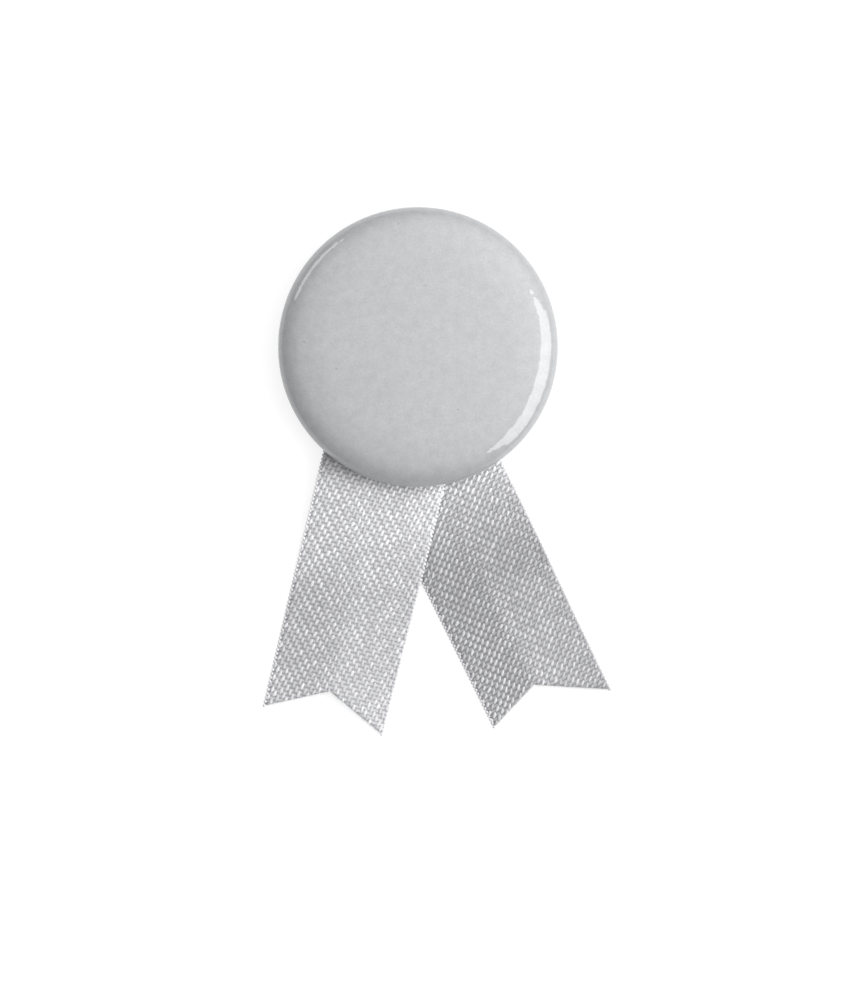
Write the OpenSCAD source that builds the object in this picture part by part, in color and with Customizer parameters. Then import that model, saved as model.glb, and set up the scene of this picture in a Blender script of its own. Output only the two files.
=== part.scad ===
// Round pin-back button badge with two satin ribbon tails behind its lower edge.
// It lies face up. X runs to the right, Y towards the top of the badge and Z out of its face.
// The origin is the middle of the back plate's underside.

/* [Button] */
// Diameter over the rolled rim
button_d = 37; // [35:0.5:40]
// Radius of the shoulder, from the face to the widest point
shoulder_r = 2.6; // [2.3:0.1:3]
// Radius of the turn, from the widest point to the lip under the back
turn_r = 1.5; // [1.4:0.1:1.7]
// How far the face domes up inside the shoulder
face_rise = 0.8; // [0.5:0.1:1.2]
// Wall of the shell, with the paper and film that cover it
shell_wall = 0.5; // [0.4:0.05:0.6]
// Width of the lip that is turned in under the back
lip_reach = 2.9; // [2.6:0.1:3.2]

/* [Back plate] */
// Thickness of the pressed plate
plate_wall = 0.4; // [0.3:0.05:0.5]
// Radius of the stiffening bead pressed into the plate
bead_r = 12.8; // [12.4:0.1:13.2]
// Height of that bead
bead_h = 0.45; // [0.3:0.05:0.6]

/* [Pin] */
// Diameter of the spring wire
wire_d = 0.8; // [0.7:0.05:0.85]
// Distance between the middles of the two end bends
pin_span = 20; // [18:0.5:21]
// Height of the pin above the middle of the button
pin_y = 6.5; // [6.25:0.25:7]
// Radius of the end bends, along the middle of the wire
bend_r = 1; // [0.95:0.05:1.1]
// Length of the hook's free leg
hook_leg = 3; // [2:0.5:4]

/* [Ribbon tails] */
// Width of the ribbon
ribbon_w = 16.4; // [15:0.1:16.8]
// Thickness of the ribbon
ribbon_wall = 1; // [1:0.05:1.05]
// How far the left tail leans out, in degrees
left_lean = 13.7; // [12:0.1:16]
// How far the right tail leans out, in degrees
right_lean = 25.8; // [24:0.1:28]
// Left tail, from the crossing to both tips
left_tip = 44.1; // [41:0.1:48]
// Left tail, from the crossing to the bottom of the notch
left_notch = 40.1; // [37:0.1:40.1]
// Right tail, from the crossing to the inner tip
right_inner_tip = 44.8; // [42:0.1:48]
// Right tail, from the crossing to the outer tip
right_outer_tip = 46.9; // [44:0.1:50]
// Right tail, from the crossing to the bottom of the notch
right_notch = 41.9; // [39:0.1:41.9]
// How far the right tail's crease lies off its middle, towards the left tail
right_crease_shift = 0.8; // [0:0.1:1]

/* [Hidden] */
$fn = 96;

// Gap between pieces that are clamped or gripped together
fit_gap = 0.05;
// Gap between pieces that are soldered or glued together
bond_gap = 0.1;

// Shell, as a section with the radius along x and the height along y
rim_radius = button_d / 2;
lip_z = -(shell_wall + fit_gap);
widest_z = lip_z + turn_r;
crown_z = widest_z + shoulder_r + face_rise;
shoulder_x = rim_radius - shoulder_r;
turn_x = rim_radius - turn_r;
lip_radius = rim_radius - lip_reach;
dome_h = shoulder_r + face_rise;
// The face is an arc that runs into the shoulder without a corner
face_radius = (pow(shoulder_x, 2) + pow(dome_h, 2) - pow(shoulder_r, 2)) / (2 * face_rise);
face_angle = asin(shoulder_x / (face_radius - shoulder_r));
face_fn = 1440;

// Back plate: how far it reaches over the lip, and its upturned edge
plate_overlap = 1.3;
plate_radius = lip_radius + plate_overlap;
flange_h = 1.2;
// Flat top of the stiffening bead, and the run of its slopes
bead_w = 1;
bead_slope = 0.5;

// Pin: a back leg that is soldered on, two end bends, and an arm whose tip lies in the hook
wire_r = wire_d / 2;
back_leg_z = -(bond_gap + wire_r);
arm_z = back_leg_z - 2 * bend_r;
bend_z = back_leg_z - bend_r;
// The arm tapers to a tip that lies this far before the middle of the hook's bend
tip_back = 0.3;
tip_r = 0.12;
taper = 4;
arm_reach = pin_span - tip_back;
arm_rise = asin(bend_r / arm_reach);
arm_length = sqrt(pow(arm_reach, 2) - pow(bend_r, 2));
// The wire is a little thinner where it is bent, and each bend enters its legs by this angle
bend_thinning = 0.01;
bend_entry = 3;
// Keepers: two low walls at each side of the middle
keeper_x = 6;
keeper_length = 3;
keeper_wall = 0.35;
keeper_h = 0.85;

// The surface that the badge lies on
floor_z = arm_z - wire_r;

// Ribbons: each has its own frame, with s along the tail from the crossing and t to the right across it
crossing = [-2.2, -6.6];
// Length of ribbon beyond the crossing, under the plate
hidden_end = 7;
half_w = ribbon_w / 2;
// Rounding of the crease
crease_round = 0.8;
// Sections along a ribbon, and places across each of its halves
stations = 34;
across = 5;
// The dish behind the button, into which both ribbons are pressed: flat inside, at the lip's level outside
dish_flat_r = 9;
dish_edge_r = 14.4;
dish_h = 0.5;
// Height of the ribbons above the floor where the lip presses them, one on the other
ribbon_gap = 0.14;
left_lift = 1.22;
right_lift = left_lift - ribbon_wall - ribbon_gap;

// One row for each section of a tail. ALONG is where it lies, LIFT is the height of its edges above the
// floor, CREASE is how far the crease stands over them, and TILT is the right edge's height over the left.
ALONG = 0;
LIFT = 1;
CREASE = 2;
TILT = 3;
left_rows = [
    // along, lift, crease, tilt
    [-hidden_end, left_lift, 0, 0],
    [12, left_lift, 0, 0],
    [22, 0.85, 0.5, 0.9],
    [29, 0.12, 1.0, 0.15],
    [36, 0, 1.35, 0],
    [44, 0, 1.6, 0],
];
right_rows = [
    // along, lift, crease, tilt
    [-hidden_end, right_lift, 0, 0],
    [12, right_lift, 0, 0],
    [17, 0.03, 0.12, 0],
    [23, 0, 0.7, 0],
    [30, 0, 1.2, 0],
    [38, 0, 1.6, 0],
    [47, 0.3, 1.8, 0.6],
];

// Reading a table between its rows, with a curve that never runs past them
function secant(rows, c, i) = (rows[i + 1][c] - rows[i][c]) / (rows[i + 1][ALONG] - rows[i][ALONG]);
function row_slope(rows, c, i) =
    i <= 0 || i >= len(rows) - 1 ? 0 :
    let (a = secant(rows, c, i - 1), b = secant(rows, c, i))
    a * b <= 0 ? 0 : 2 * a * b / (a + b);
function row_before(rows, s, i = 0) =
    i >= len(rows) - 2 || s < rows[i + 1][ALONG] ? i : row_before(rows, s, i + 1);
function at(rows, c, s) =
    let (
        i = row_before(rows, s),
        gap = rows[i + 1][ALONG] - rows[i][ALONG],
        u = max(0, min(1, (s - rows[i][ALONG]) / gap)),
        a = rows[i][c],
        b = rows[i + 1][c],
        ma = row_slope(rows, c, i) * gap,
        mb = row_slope(rows, c, i + 1) * gap
    )
    a + u * ma + u * u * (3 * (b - a) - 2 * ma - mb) + u * u * u * (2 * (a - b) + ma + mb);

// Smooth step from 0 to 1
function ease(u) = let (v = max(0, min(1, u))) v * v * (3 - 2 * v);
// How far the dish behind the button lets the ribbons up, at a distance from the button's axis
function dish(r) = dish_h * ease((dish_edge_r - r) / (dish_edge_r - dish_flat_r));

// Distance from the crease, rounded at the crease and true at the edge
function soft(d, side) = sqrt(d * d + crease_round * crease_round)
    - (sqrt(side * side + crease_round * crease_round) - side) * d / side;

// A ribbon is [rows, lean, crease place, left tip, notch, right tip], where lean is positive to the right
ROWS = 0;
LEAN = 1;
FOLD_T = 2;
TIP_L = 3;
NOTCH = 4;
TIP_R = 5;
left_ribbon = [left_rows, -left_lean, 0, left_tip, left_notch, left_tip];
right_ribbon = [
    right_rows, right_lean, -right_crease_shift, right_inner_tip, right_notch, right_outer_tip
];

// Places across the flat ribbon: closer together at the crease, with one on it
function columns(rib) = [
    for (k = [-across : across])
        let (u = abs(k) / across, near = pow(u, 1.3))
        k < 0 ? rib[FOLD_T] - near * (half_w + rib[FOLD_T]) : rib[FOLD_T] + near * (half_w - rib[FOLD_T])
];
// Where the cut end lies for a place across
function cut_end(rib, t) =
    t < rib[FOLD_T]
    ? rib[NOTCH] + (rib[TIP_L] - rib[NOTCH]) * (rib[FOLD_T] - t) / (rib[FOLD_T] + half_w)
    : rib[NOTCH] + (rib[TIP_R] - rib[NOTCH]) * (t - rib[FOLD_T]) / (half_w - rib[FOLD_T]);

// Point on the ribbon's lower (0) or upper (1) side, at s along and t across the flat ribbon
function ribbon_point(rib, s, t, upper) =
    let (
        rows = rib[ROWS],
        side = t < rib[FOLD_T] ? half_w + rib[FOLD_T] : half_w - rib[FOLD_T],
        crease = at(rows, CREASE, s),
        flank = asin(crease / side),
        d = abs(t - rib[FOLD_T]),
        // A folded half takes less width, seen from above
        t_plan = rib[FOLD_T] + (t - rib[FOLD_T]) * cos(flank),
        x = crossing[0] + s * sin(rib[LEAN]) + t_plan * cos(rib[LEAN]),
        y = crossing[1] - s * cos(rib[LEAN]) + t_plan * sin(rib[LEAN]),
        low = floor_z + at(rows, LIFT, s) + dish(norm([x, y]))
            + crease * (1 - soft(d, side) / side) + at(rows, TILT, s) * t / ribbon_w
    )
    [x, y, low + upper * ribbon_wall / cos(flank)];

// Two triangles for a face with four corners, named clockwise as seen from outside
function quad(a, b, c, d) = [[a, b, c], [a, c, d]];

// Closed strip through a grid of points, on its lower and its upper side
module strip(rib) {
    cols = columns(rib);
    nc = len(cols);
    points = [
        for (upper = [0, 1])
            for (i = [0 : stations])
                for (t = cols)
                    ribbon_point(rib, -hidden_end + (cut_end(rib, t) + hidden_end) * i / stations, t, upper)
    ];
    // What is added to a lower point's number to get the point above it
    up = (stations + 1) * nc;
    skins = [
        for (i = [0 : stations - 1])
            for (j = [0 : nc - 2])
                let (a = i * nc + j, b = a + 1, c = a + nc + 1, d = a + nc)
                each concat(quad(a, d, c, b), quad(up + a, up + b, up + c, up + d))
    ];
    edges = [
        for (i = [0 : stations - 1])
            let (a = i * nc, b = a + nc, c = a + nc - 1, d = b + nc - 1)
            each concat(quad(a, up + a, up + b, b), quad(d, up + d, up + c, c))
    ];
    last = stations * nc;
    ends = [
        for (j = [0 : nc - 2])
            let (a = j, b = j + 1, c = last + j, d = last + j + 1)
            each concat(quad(b, up + b, up + a, a), quad(c, up + c, up + d, d))
    ];
    polyhedron(points = points, faces = concat(skins, edges, ends), convexity = 6);
}

// Half of the shell's section, filled, drawn inwards by inset
module filled_section(inset) {
    intersection() {
        translate([0, crown_z - face_radius])
            circle(r = face_radius - inset, $fn = face_fn);
        translate([0, widest_z])
            square([shoulder_x + (shoulder_r - inset) * sin(face_angle), dome_h]);
    }
    intersection() {
        translate([shoulder_x, widest_z])
            circle(r = shoulder_r - inset);
        translate([shoulder_x - shoulder_r, widest_z])
            square([2 * shoulder_r, shoulder_r]);
    }
    intersection() {
        translate([turn_x, widest_z])
            circle(r = turn_r - inset);
        translate([turn_x, widest_z - turn_r])
            square(turn_r);
    }
    translate([0, lip_z + inset])
        square([turn_x, turn_r - inset]);
}

// Domed tinplate front with its rim rolled in under the back
module button_shell() {
    color("#c8c9cb")
    rotate_extrude()
    difference() {
        filled_section(0);
        filled_section(shell_wall);
        translate([0, lip_z - shell_wall])
            square([lip_radius, 3 * shell_wall]);
    }
}

// Two low walls that grip the pin's back leg, at x
module keeper(x) {
    for (side = [-1, 1])
        translate([
            x - keeper_length / 2,
            pin_y + side * (wire_r + fit_gap + keeper_wall / 2) - keeper_wall / 2,
            -keeper_h
        ])
            cube([keeper_length, keeper_wall, keeper_h + plate_wall / 2]);
}

// Pressed back plate with an upturned edge, a stiffening bead and the pin's keepers
module back_plate() {
    inner = bead_r - bead_w / 2;
    outer = bead_r + bead_w / 2;
    color("#b4b8bd") {
        rotate_extrude()
        polygon([
            [0, 0],
            [inner - bead_slope, 0],
            [inner, bead_h],
            [outer, bead_h],
            [outer + bead_slope, 0],
            [plate_radius, 0],
            [plate_radius, flange_h],
            [plate_radius - plate_wall, flange_h],
            [plate_radius - plate_wall, plate_wall],
            [outer + bead_slope, plate_wall],
            [outer, bead_h + plate_wall],
            [inner, bead_h + plate_wall],
            [inner - bead_slope, plate_wall],
            [0, plate_wall],
        ]);
        keeper(-keeper_x);
        keeper(keeper_x);
    }
}

// Straight length of wire along X, starting at x and at height z
module leg(x, z, length) {
    translate([x, 0, z])
        rotate([0, 90, 0])
            cylinder(r = wire_r, h = length, $fn = 32);
}

// Bent length of wire about a point at x and bend_z, from one angle to another in the upright plane
module end_bend(x, from, to) {
    translate([x, 0, bend_z])
        rotate([90, 0, 0])
            rotate([0, 0, from])
                rotate_extrude(angle = to - from)
                    translate([bend_r, 0])
                        circle(r = wire_r - bend_thinning, $fn = 32);
}

// Closed pin bent from one wire: back leg, spring bend, pointed arm and hook
module pin_wire() {
    color("#c3c6ca")
    translate([0, pin_y, 0]) {
        leg(-pin_span / 2, back_leg_z, pin_span);
        end_bend(-pin_span / 2, 90 - bend_entry, 270 + arm_rise + bend_entry);
        translate([-pin_span / 2, 0, bend_z])
            rotate([0, -arm_rise, 0])
                translate([0, 0, -bend_r])
                    rotate([0, 90, 0]) {
                        cylinder(r = wire_r, h = arm_length - taper, $fn = 32);
                        translate([0, 0, arm_length - taper])
                            cylinder(r1 = wire_r, r2 = tip_r, h = taper, $fn = 32);
                    }
        end_bend(pin_span / 2, -90 - bend_entry, 90 + bend_entry);
        leg(pin_span / 2 - hook_leg, arm_z, hook_leg);
    }
}

// Left tail, which lies over the right one
module ribbon_left() {
    color("#c6c6c8") strip(left_ribbon);
}

// Right tail, which lies on the floor under the left one
module ribbon_right() {
    color("#bababd") strip(right_ribbon);
}

button_shell();
back_plate();
pin_wire();
ribbon_left();
ribbon_right();
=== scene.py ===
# %% [markdown]
# # A button badge with two ribbon tails
#
# The badge is a domed disc of tinplate. Plain grey paper and a clear polyester film are pressed over its
# front, and the edge of all three is rolled in round a flat back plate. A wire pin is held on the back,
# and two strips of coarse satin ribbon hang from behind the lower edge.
# The CAD model holds the real sizes, so every piece below starts from the same numbers, in millimetres.

# %% Tools, and the CAD model as the frame
import math

import bmesh
import bpy
import mathutils
import numpy as np
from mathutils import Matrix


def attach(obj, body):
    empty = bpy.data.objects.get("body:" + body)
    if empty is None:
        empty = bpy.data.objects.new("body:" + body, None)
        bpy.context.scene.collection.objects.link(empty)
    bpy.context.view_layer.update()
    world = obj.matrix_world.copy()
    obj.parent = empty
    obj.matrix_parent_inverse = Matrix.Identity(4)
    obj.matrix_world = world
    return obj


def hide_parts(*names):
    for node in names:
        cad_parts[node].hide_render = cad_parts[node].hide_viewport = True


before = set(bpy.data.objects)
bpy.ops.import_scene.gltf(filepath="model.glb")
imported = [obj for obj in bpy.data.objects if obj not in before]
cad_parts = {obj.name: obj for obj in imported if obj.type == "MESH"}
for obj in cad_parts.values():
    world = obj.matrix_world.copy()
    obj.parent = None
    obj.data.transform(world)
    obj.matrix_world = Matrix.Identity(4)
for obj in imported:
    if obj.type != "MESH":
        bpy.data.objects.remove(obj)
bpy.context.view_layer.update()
MM = 0.001

# %% [markdown]
# ## Helpers for colours and nodes
#
# A maker picks colours as sRGB hex values. Blender mixes light in linear values, so one function
# turns them over. A second one adds a node with its settings and links, which keeps a long recipe short.
# It serves materials and Geometry Nodes alike, because both are trees of nodes. An input can be given a
# number, a socket, or a whole node, which then stands for its first output.

# %% Colour and node helpers
MATH, VECTOR_MATH = "ShaderNodeMath", "ShaderNodeVectorMath"  # the kinds of node that come most often


def linear(code):
    """An sRGB hex colour as a linear colour with alpha."""
    parts = [int(code[i : i + 2], 16) / 255 for i in (1, 3, 5)]
    return [c / 12.92 if c <= 0.04045 else ((c + 0.055) / 1.055) ** 2.4 for c in parts] + [1.0]


def add(tree, kind, inputs=None, **settings):
    """Adds a node with its settings. Sockets and nodes are linked to its inputs, other values set."""
    node = tree.nodes.new(kind)
    for name, value in settings.items():
        setattr(node, name, value)
    for key, value in (inputs or {}).items():
        if isinstance(value, bpy.types.Node):
            value = value.outputs[0]
        if isinstance(value, bpy.types.NodeSocket):
            tree.links.new(value, node.inputs[key])
        else:
            node.inputs[key].default_value = value
    return node


def new_material(name, **values):
    """A material with its main shader set, and its tree and that shader."""
    material = bpy.data.materials.new(name)
    material.use_nodes = True
    shader = material.node_tree.nodes["Principled BSDF"]
    for key, value in values.items():
        shader.inputs[key.replace("_", " ")].default_value = value
    return material, material.node_tree, shader


print("mid grey #808080 is", round(linear("#808080")[0], 3), "in linear light")

# %% [markdown]
# ## Helpers for meshes
#
# Most pieces here are rows of points joined by faces with four corners, so one helper turns points and
# faces into a smooth object. A second one closes each piece: it rides on the CAD body and takes the
# place of the CAD solid it stands for.

# %% Mesh helpers


def mesh_object(name, points, faces, material):
    """A smooth mesh object from points in millimetres."""
    mesh = bpy.data.meshes.new(name)
    mesh.from_pydata([[c * MM for c in p] for p in points], [], faces)
    mesh.validate()
    mesh.shade_smooth()
    mesh.materials.append(material)
    thing = bpy.data.objects.new(name, mesh)
    bpy.context.scene.collection.objects.link(thing)
    return thing


def finish_piece(thing, slot, *nodes):
    """Puts a finished piece on the CAD body, in the place of the CAD nodes it stands for."""
    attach(thing, "root")
    if nodes:
        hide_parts(*nodes)
    thing.data.calc_loop_triangles()
    print(thing.name, "has", len(thing.data.loop_triangles), "triangles")
    return thing


print("one unit of the scene is", 1 / MM, "mm")

# %% [markdown]
# ## Finish: film over grey paper
#
# The front of the button is plain light grey paper, with a clear polyester film pressed over it.
# The paper scatters the light and the film adds the gloss, which is what the shader's coat is for.
# The paper's fibres mottle the grey a little, and dust that was caught under the film shows as tiny dark
# specks. The film isn't quite flat, so its reflections have slightly uneven edges.

# %% Film over paper: the mottled grey
# Polyester film has an IOR of about 1.65. It lays sharp, bright lights over a soft and even grey.
film_over_paper, tree, shader = new_material(
    "film_over_paper", Roughness=0.6, Coat_Weight=1.0, Coat_Roughness=0.05, Coat_IOR=1.7
)
FIBRE_CLOUD, PAPER_GRAIN, DUST_PATCH = 1.2 * MM, 0.25 * MM, 3.0 * MM
place = add(tree, "ShaderNodeTexCoord").outputs["Object"]
clouds = add(tree, "ShaderNodeTexNoise", {"Vector": place, "Scale": 1 / FIBRE_CLOUD, "Detail": 2.0})
grain = add(tree, "ShaderNodeTexNoise", {"Vector": place, "Scale": 1 / PAPER_GRAIN, "Detail": 1.0})
mottle = add(tree, MATH, {0: clouds.outputs["Fac"], 1: grain.outputs["Fac"]}, operation="ADD")
paper = add(tree, "ShaderNodeMapRange", {"Value": mottle, "From Min": 0.6, "From Max": 1.4})
between = {0: paper, 6: linear("#8d8e90"), 7: linear("#9b9c9e")}
grey = add(tree, "ShaderNodeMix", between, data_type="RGBA").outputs[2]
print("made the grey of", film_over_paper.name)

# %% Film over paper: dust, and the film's ripples
# There is a speck of dust to each patch, and most specks lie too deep to reach the surface
dust = add(tree, "ShaderNodeTexVoronoi", {"Vector": place, "Scale": 1 / DUST_PATCH})
clear = add(
    tree,
    "ShaderNodeMapRange",
    {"Value": dust.outputs["Distance"], "From Min": 0.025, "From Max": 0.04},
)
spotted = add(tree, "ShaderNodeMix", {0: clear, 6: linear("#747578"), 7: grey}, data_type="RGBA")
tree.links.new(spotted.outputs[2], shader.inputs["Base Color"])
RIPPLE, RIPPLE_DEPTH = 1.1 * MM, 0.03 * MM
ripples = add(tree, "ShaderNodeTexNoise", {"Vector": place, "Scale": 1 / RIPPLE, "Detail": 2.0})
waviness = add(
    tree,
    "ShaderNodeBump",
    {"Height": ripples.outputs["Fac"], "Strength": 1.0, "Distance": RIPPLE_DEPTH},
)
tree.links.new(waviness.outputs[0], shader.inputs["Coat Normal"])
print("made", film_over_paper.name)

# %% [markdown]
# ## The shell's section
#
# The front of a button is a very flat dome that gets steeper towards its edge. A rounded shoulder turns
# it down to the widest point, and a tighter turn rolls it in under the back, where it ends in a narrow
# lip. In section these are arcs that run into each other without a corner, so that a reflection slides
# round the rim without a kink. Each arc's radius follows from where it ends and how steep it is there.
# Where the film rolls under, it has more edge than room and gathers into fine pleats, so each point of
# the section also says how deep the pleats are there. They press into the wall and never stand out of it.

# %% Sizes of the button, in mm
BUTTON_R, WALL = 18.5, 0.5
CROWN_Z, LIP_R, LIP_Z, TURN_R = 4.38, 15.6, -0.55, 1.5
EDGE_R, WIDEST_Z = WALL / 2, LIP_Z + TURN_R
PLEAT_DEPTH, PLEAT_START = 0.06, 100  # mm, and the turn in degrees from which they deepen
# The front's arcs: how far out each one ends, how steep it ends in degrees, and its steps
FRONT = [(11.9, 4.0, 8), (15.6, 12.0, 8), (16.7, 22.0, 6), (17.8, 40.0, 8), (BUTTON_R, 90.0, 14)]


def front_radii():
    """The radius of each arc of the front, from where and how steep it starts and ends."""
    radii, x, start = [], 0.0, 0.0
    for end_x, stop, _ in FRONT:
        radii.append((end_x - x) / (math.sin(math.radians(stop)) - math.sin(math.radians(start))))
        x, start = end_x, stop
    return radii


print("the front's radii are", [round(r, 1) for r in front_radii()], "mm")

# %% The section, from the middle of the face round the lip and back inside


def arc_on(rows, radius, start, stop, count, depth=lambda turn: 0.0):
    """Adds an arc that starts where the rows (x, z, normal x, normal z, pleat depth) end.
    A turn is in degrees from straight up, towards the rim."""
    x, z = rows[-1][:2]
    a = math.radians(start)
    for i in range(1, count + 1):
        turn = start + (stop - start) * i / count
        b = math.radians(turn)
        nx, nz = math.sin(b), math.cos(b)
        rows.append((x + radius * (nx - math.sin(a)), z + radius * (nz - math.cos(a)), nx, nz, depth(turn)))


def deepening(turn):
    """How deep the pleats are, in mm, where the film rolls under."""
    return PLEAT_DEPTH * max(0, (turn - PLEAT_START) / (180 - PLEAT_START)) ** 1.5


section = [(0, CROWN_Z, 0, 1, 0)]
steep = [0.0] + [row[1] for row in FRONT]
for i, radius in enumerate(front_radii()):
    arc_on(section, radius, steep[i], steep[i + 1], FRONT[i][2])
arc_on(section, TURN_R, 90, 180, 14, deepening)
turn_x, turn_z = section[-1][:2]
section += [(turn_x + (LIP_R + EDGE_R - turn_x) * u, LIP_Z, 0, -1, PLEAT_DEPTH) for u in (0.33, 0.66, 1.0)]
arc_on(section, EDGE_R, 180, 360, 8, lambda turn: PLEAT_DEPTH * (360 - turn) / 180)
section.append((turn_x, turn_z + WALL, 0, 1, 0))
arc_on(section, TURN_R - WALL, 180, 90, 7)
for i, radius in reversed(list(enumerate(front_radii()))):
    arc_on(section, radius - WALL, steep[i + 1], steep[i], 4)
print("the section has", len(section), f"points, and its lip is at {turn_z:.2f} mm")

# %% [markdown]
# ## Turning the shell
#
# A turned part is its section carried round the axis, closed with a fan of three-cornered faces at each
# pole. The pleats are uneven, so three waves with different counts are added. The counts are whole
# numbers, because then the waves meet themselves after one turn.

# %% The shell
SHELL_ROUND = 720  # points round the shell, enough for nearly five to the finest pleat
PLEAT_WAVES = [(67, 0.5, 0.3), (97, 0.9, 1.7), (149, 0.6, 4.0)]  # pleats to a turn, weight, phase


def pleat(turn):
    """How far the film is from standing full, 0 to 1, at a turn round the rim in radians."""
    wave = sum(weight * math.sin(count * turn + phase) for count, weight, phase in PLEAT_WAVES)
    return 0.5 - 0.5 * wave / sum(weight for _, weight, _ in PLEAT_WAVES)


def turned(name, section, count, material):
    """A closed solid of revolution. Its section starts and ends on the axis."""
    points, rows = [(0, 0, section[0][1])], []
    for x, z, nx, nz, depth in section[1:-1]:
        rows.append(len(points))
        for k in range(count):
            turn = 2 * math.pi * k / count
            inward = depth * pleat(turn) if depth else 0
            r = x - nx * inward
            points.append((r * math.cos(turn), r * math.sin(turn), z - nz * inward))
    points.append((0, 0, section[-1][1]))
    last = len(points) - 1
    faces = []
    for k in range(count):
        n = (k + 1) % count
        faces.append((0, rows[0] + k, rows[0] + n))
        faces += [(a + k, b + k, b + n, a + n) for a, b in zip(rows, rows[1:])]
        faces.append((rows[-1] + k, last, rows[-1] + n))
    return mesh_object(name, points, faces, material)


shell = turned("shell_wrapped", section, SHELL_ROUND, film_over_paper)
finish_piece(shell, "button_face", "button_shell")

# %% [markdown]
# ## The back plate
#
# The plate is pressed from tinned steel sheet: flat in the middle, with a raised ring that stiffens it,
# and its edge turned up inside the shell. A press can't make a sharp bend, so every corner of the section
# is rounded. Two pairs of low walls keep the pin's back leg in place.
# Rolled tinplate is satin, with faint lines along the rolling direction.

# %% Tinplate
# Tin on cold-rolled steel: a light grey metal that blurs what it mirrors, a little more across the lines
tinplate, tree, shader = new_material(
    "tinplate_pressed", Metallic=1.0, Roughness=0.34, Base_Color=linear("#c9cbcf")
)
place = add(tree, "ShaderNodeTexCoord").outputs["Object"]
# Rolling lines run along X for about 8 mm and are about 0.15 mm apart, so there are so many to a metre
ROLLED = (120.0, 6600.0, 6600.0)
stretched = add(tree, "ShaderNodeMapping", {"Vector": place, "Scale": ROLLED})
lines = add(tree, "ShaderNodeTexNoise", {"Vector": stretched, "Scale": 1.0, "Detail": 2.0})
between = {0: lines.outputs["Fac"], 6: linear("#b9bcc1"), 7: linear("#d6d8db")}
tone = add(tree, "ShaderNodeMix", between, data_type="RGBA")
tree.links.new(tone.outputs[2], shader.inputs["Base Color"])
rolled = add(
    tree, "ShaderNodeBump", {"Height": lines.outputs["Fac"], "Strength": 0.6, "Distance": 0.01 * MM}
)
tree.links.new(rolled.outputs[0], shader.inputs["Normal"])
print("made", tinplate.name)

# %% Sizes of the plate, in mm, and how its corners are rounded
PLATE_R, PLATE_WALL, FLANGE_H = 16.9, 0.4, 1.2
BEAD_R, BEAD_H, BEAD_W, BEAD_SLOPE = 12.8, 0.45, 1.0, 0.5
CORNER, PLATE_ROUND = 0.25, 240


def rounded(corners, radius, steps=5):
    """A line through corners (x, z), each one cut off at radius and replaced by a curve."""
    out = [corners[0]]
    for before, corner, after in zip(corners, corners[1:], corners[2:]):
        a, c, b = (np.array(p, float) for p in (before, corner, after))
        la, lb = np.linalg.norm(a - c), np.linalg.norm(b - c)
        p, q = c + (a - c) * min(radius / la, 0.5), c + (b - c) * min(radius / lb, 0.5)
        for u in np.linspace(0, 1, steps):
            out.append(tuple((1 - u) ** 2 * p + 2 * u * (1 - u) * c + u**2 * q))
    return out + [corners[-1]]


print("a square corner becomes", len(rounded([(0, 0), (1, 0), (1, 1)], CORNER)) - 2, "points")

# %% The plate, turned from its section
bead_in, bead_out = BEAD_R - BEAD_W / 2, BEAD_R + BEAD_W / 2
plate_under = [
    (0, 0),
    (bead_in - BEAD_SLOPE, 0),
    (bead_in, BEAD_H),
    (bead_out, BEAD_H),
    (bead_out + BEAD_SLOPE, 0),
    (PLATE_R, 0),
    (PLATE_R, FLANGE_H),
]
plate_over = [
    (PLATE_R - PLATE_WALL, FLANGE_H),
    (PLATE_R - PLATE_WALL, PLATE_WALL),
    (bead_out + BEAD_SLOPE, PLATE_WALL),
    (bead_out, BEAD_H + PLATE_WALL),
    (bead_in, BEAD_H + PLATE_WALL),
    (bead_in - BEAD_SLOPE, PLATE_WALL),
    (0, PLATE_WALL),
]
plate_line = rounded(plate_under, CORNER) + rounded(plate_over, CORNER)
plate_section = [(x, z, 0, 0, 0) for x, z in reversed(plate_line)]
plate = turned("plate_pressed", plate_section, PLATE_ROUND, tinplate)
print("the plate's section has", len(plate_section), "points")

# %% [markdown]
# ## The pin's keepers
#
# The pin's back leg lies between two pairs of low walls that stand up from the plate. Each one is a small
# block with its edges taken off, and its foot is sunk into the plate, so that no gap shows. The blocks
# are added to the plate's own mesh, because on the real badge they are one piece of metal.

# %% Keepers on the plate, in mm
WIRE_R, PIN_Y = 0.4, 6.5
KEEPER_X, KEEPER_LONG, KEEPER_WALL, KEEPER_H = 6.0, 3.0, 0.35, 0.85
KEEPER_GAP, KEEPER_SUNK, KEEPER_ROUND = 0.05, 0.1, 0.08
beside_pin = WIRE_R + KEEPER_GAP + KEEPER_WALL / 2
high = (KEEPER_H + KEEPER_SUNK) * MM
metal = bmesh.new()
for x in (-KEEPER_X, KEEPER_X):
    for y in (PIN_Y - beside_pin, PIN_Y + beside_pin):
        centre = mathutils.Matrix.Translation((x * MM, y * MM, KEEPER_SUNK * MM - high / 2))
        size = mathutils.Matrix.Diagonal((KEEPER_LONG * MM, KEEPER_WALL * MM, high, 1))
        bmesh.ops.create_cube(metal, size=1.0, matrix=centre @ size)
bmesh.ops.bevel(
    metal, geom=metal.edges[:], offset=KEEPER_ROUND * MM, segments=3, profile=0.5, affect="EDGES"
)
for face in metal.faces:
    face.smooth = True
metal.from_mesh(plate.data)
metal.to_mesh(plate.data)
metal.free()
finish_piece(plate, "back_metal", "back_plate")
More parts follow.
